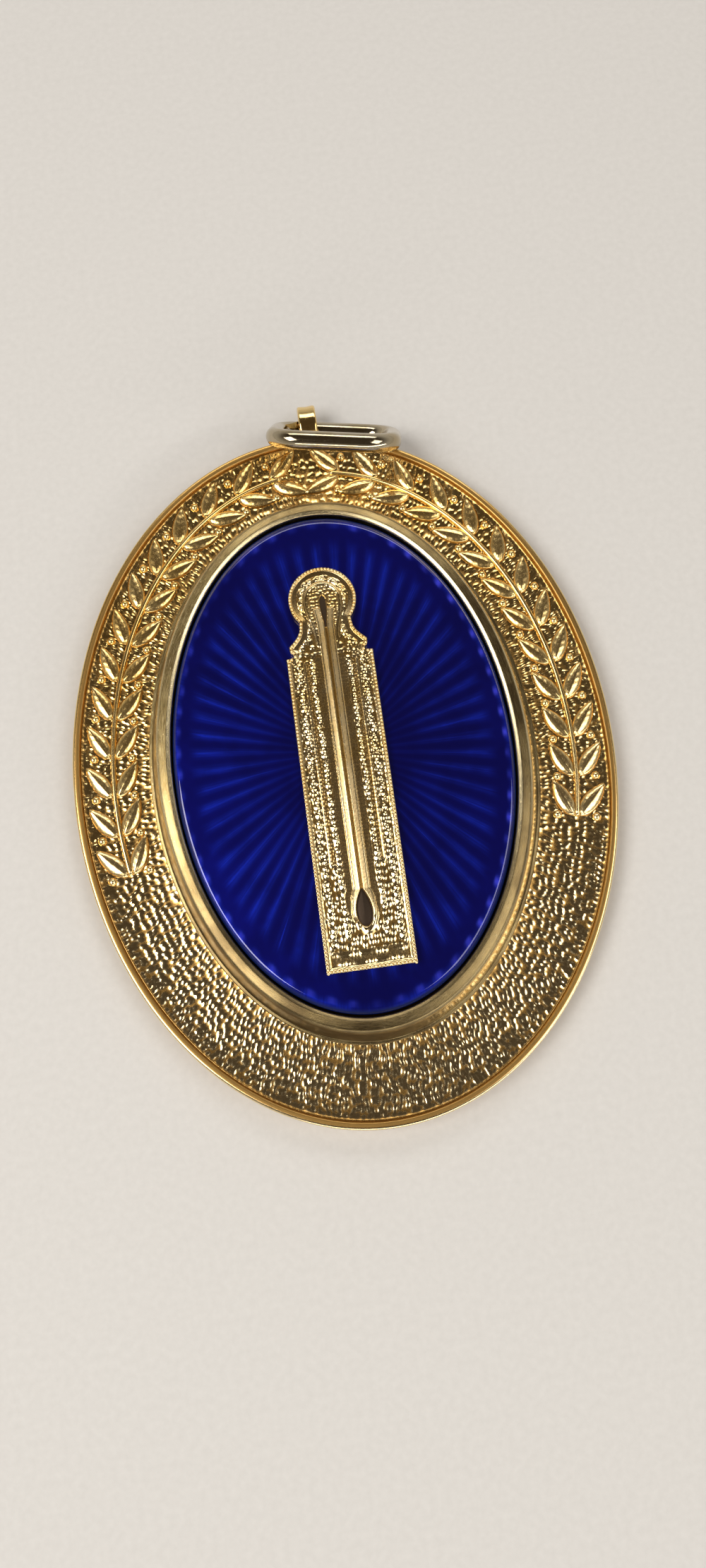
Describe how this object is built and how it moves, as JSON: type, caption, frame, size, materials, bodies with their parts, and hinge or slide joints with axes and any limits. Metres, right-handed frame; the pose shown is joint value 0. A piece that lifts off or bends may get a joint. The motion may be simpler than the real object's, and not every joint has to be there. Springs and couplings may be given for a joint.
{
  "type": "oval collar jewel",
  "caption": "Oval gilt collar jewel: pebbled border with laurel relief, satin bezel, domed blue enamel plaque with an applied plumb rule, and a swinging oval suspension ring in a soldered eye.",
  "frame": {"origin": "middle of the plate's flat back, on the surface that the jewel lies on", "axes": "+X across the jewel, +Y up to the suspension ring, +Z out of the face"},
  "size_m": [0.062, 0.0858, 0.0107],
  "materials": {
    "old_gilt": "polished old gilt over struck metal, pebbled ground darker in its hollows",
    "satin_gold": "satin pale gold with fine scratches and specks",
    "cobalt_enamel": "glossy translucent cobalt enamel over a sunray engraving",
    "cast_gold": "cast gilt, bright on its edges and darker in its pebbled ground",
    "ring_gold": "polished pale gold wire"
  },
  "bodies": {
    "jewel": {"border_plate": "old_gilt", "bezel_ring": "satin_gold", "enamel_plaque": "cobalt_enamel", "plumb_rule": "cast_gold"},
    "ring": {"suspension_ring": "ring_gold"}
  },
  "joints": [
    {"name": "ring_swing", "type": "hinge", "parent": "jewel", "child": "ring", "pos_m": [0.00461, 0.04143, 0.0021], "axis": [-0.9827, 0.185, 0], "range_deg": [0, 240]}
  ]
}
